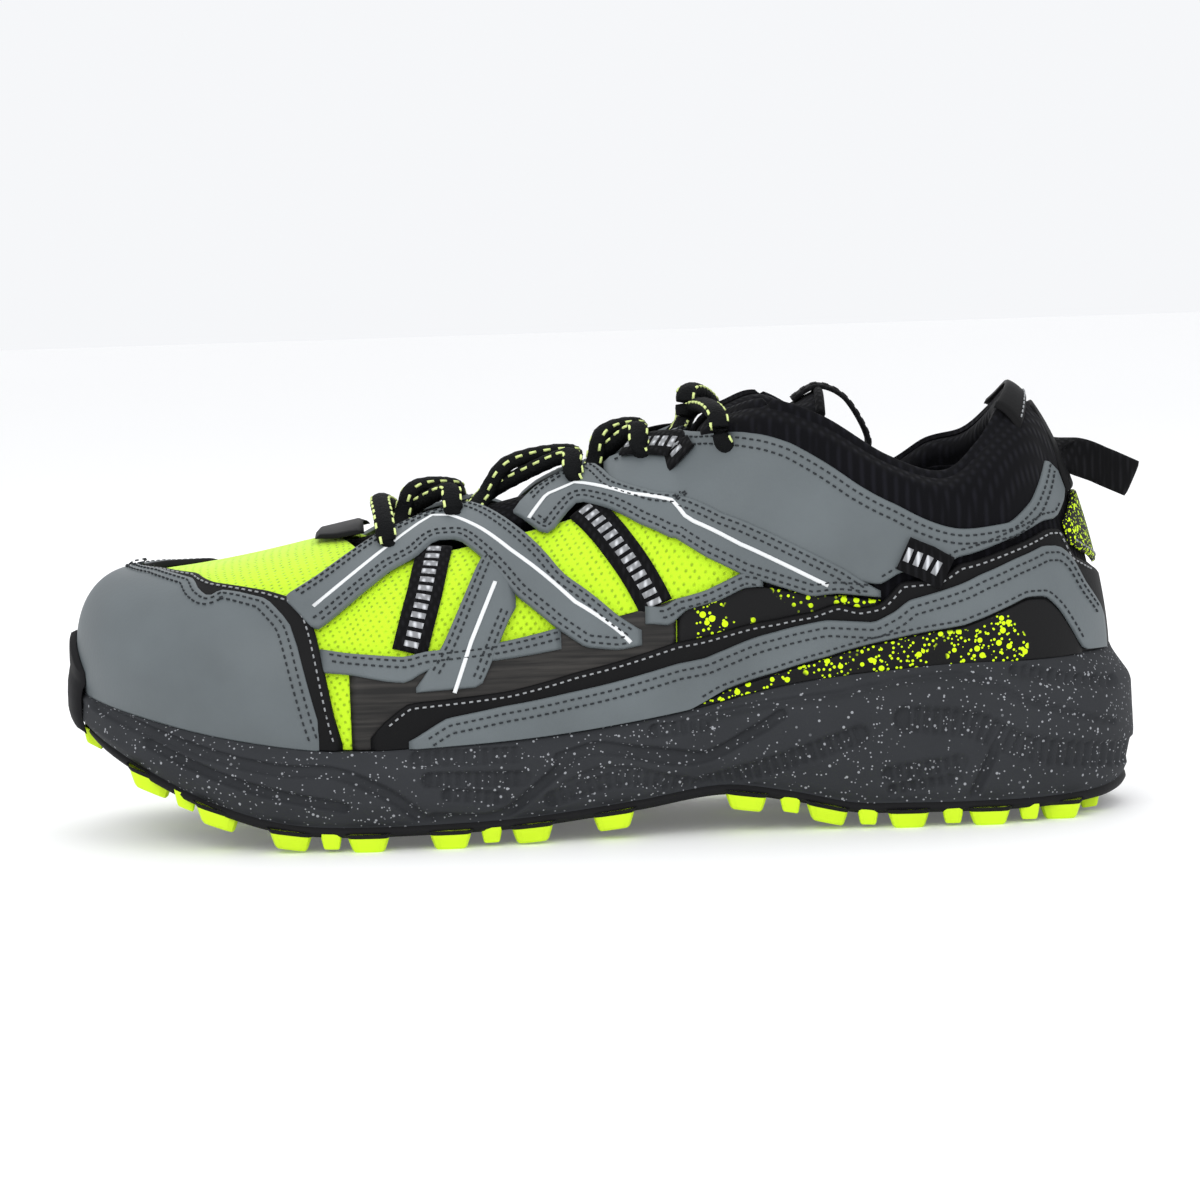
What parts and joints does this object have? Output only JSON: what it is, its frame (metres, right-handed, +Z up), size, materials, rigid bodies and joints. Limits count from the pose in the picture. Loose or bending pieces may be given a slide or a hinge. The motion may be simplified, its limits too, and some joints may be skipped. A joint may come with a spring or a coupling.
{
  "type": "running shoe",
  "caption": "Left trail running shoe with a layered synthetic and mesh upper, criss-cross lacing, foam midsole and lugged rubber outsole.",
  "frame": {"origin": "middle of the shoe's footprint box, on the ground", "axes": "+Z up, +X from toe to heel, -Y to the lateral (outer) side of this left shoe"},
  "size_m": [0.3016, 0.113, 0.122],
  "materials": {
    "black_rubber": "moulded matt rubber",
    "lime_rubber": "moulded matt rubber",
    "sole_foam": "speckled moulded foam",
    "board": "non-woven board",
    "insole_cloth": "woven cloth on foam",
    "stiffener": "thermoplastic sheet",
    "knit_lining": "spacer knit",
    "black_mesh": "textured mesh",
    "lime_mesh": "perforated mesh",
    "brushed_film": "brushed film",
    "webbing": "woven tape",
    "lace_cord": "braided cord with flecks",
    "aglet_plastic": "clear-coated tip",
    "black_trim": "synthetic suede",
    "slate_synthetic": "smooth synthetic leather"
  },
  "bodies": {
    "shoe": {"outsole": "black_rubber", "lug_plate": "lime_rubber", "toe_bumper": "black_rubber", "midsole": "sole_foam", "strobel_board": "board", "insole": "insole_cloth", "lining": "knit_lining", "collar_pad": "knit_lining", "heel_counter": "stiffener", "toe_puff": "stiffener", "heel_mesh": "black_mesh", "vamp_mesh": "lime_mesh", "mudguard_film_lateral": "brushed_film", "mudguard_film_medial": "brushed_film", "front_webbing_lateral": "webbing", "front_webbing_medial": "webbing", "mid_webbing_lateral": "webbing", "mid_webbing_medial": "webbing", "toe_trim": "black_trim", "toe_cap": "slate_synthetic", "vamp_point": "black_trim", "front_strap_lateral": "slate_synthetic", "front_strap_medial": "slate_synthetic", "mid_strap_lateral": "slate_synthetic", "mid_strap_medial": "slate_synthetic", "quarter_lateral": "slate_synthetic", "quarter_medial": "slate_synthetic", "rear_foxing": "black_trim", "backstay": "black_trim", "heel_tab": "black_trim", "foxing_skin_lateral": "slate_synthetic", "foxing_skin_medial": "slate_synthetic", "eyelet_webbing_lateral": "webbing", "eyelet_webbing_medial": "webbing", "rear_webbing_lateral": "webbing", "rear_webbing_medial": "webbing", "tongue_base": "knit_lining", "shoelace": "lace_cord", "aglet_lateral": "aglet_plastic", "aglet_medial": "aglet_plastic"},
    "tongue_top": {"tongue_top": "knit_lining"},
    "tongue_loop": {"tongue_loop": "webbing"},
    "heel_loop": {"heel_loop": "webbing"}
  },
  "joints": [
    {"name": "tongue_fold", "type": "hinge", "parent": "shoe", "child": "tongue_top", "pos_m": [0.029, 0, 0.098], "axis": [0, 1, 0], "range_deg": [-20, 10], "stiffness_Nm_per_rad": 0.15},
    {"name": "tongue_loop_swing", "type": "hinge", "parent": "tongue_top", "child": "tongue_loop", "pos_m": [0.06, 0, 0.111], "axis": [0, 1, 0], "range_deg": [-8, 10], "stiffness_Nm_per_rad": 0.03},
    {"name": "heel_loop_swing", "type": "hinge", "parent": "shoe", "child": "heel_loop", "pos_m": [0.1295, 0, 0.096], "axis": [0, 1, 0], "range_deg": [-12, 12], "stiffness_Nm_per_rad": 0.03}
  ]
}
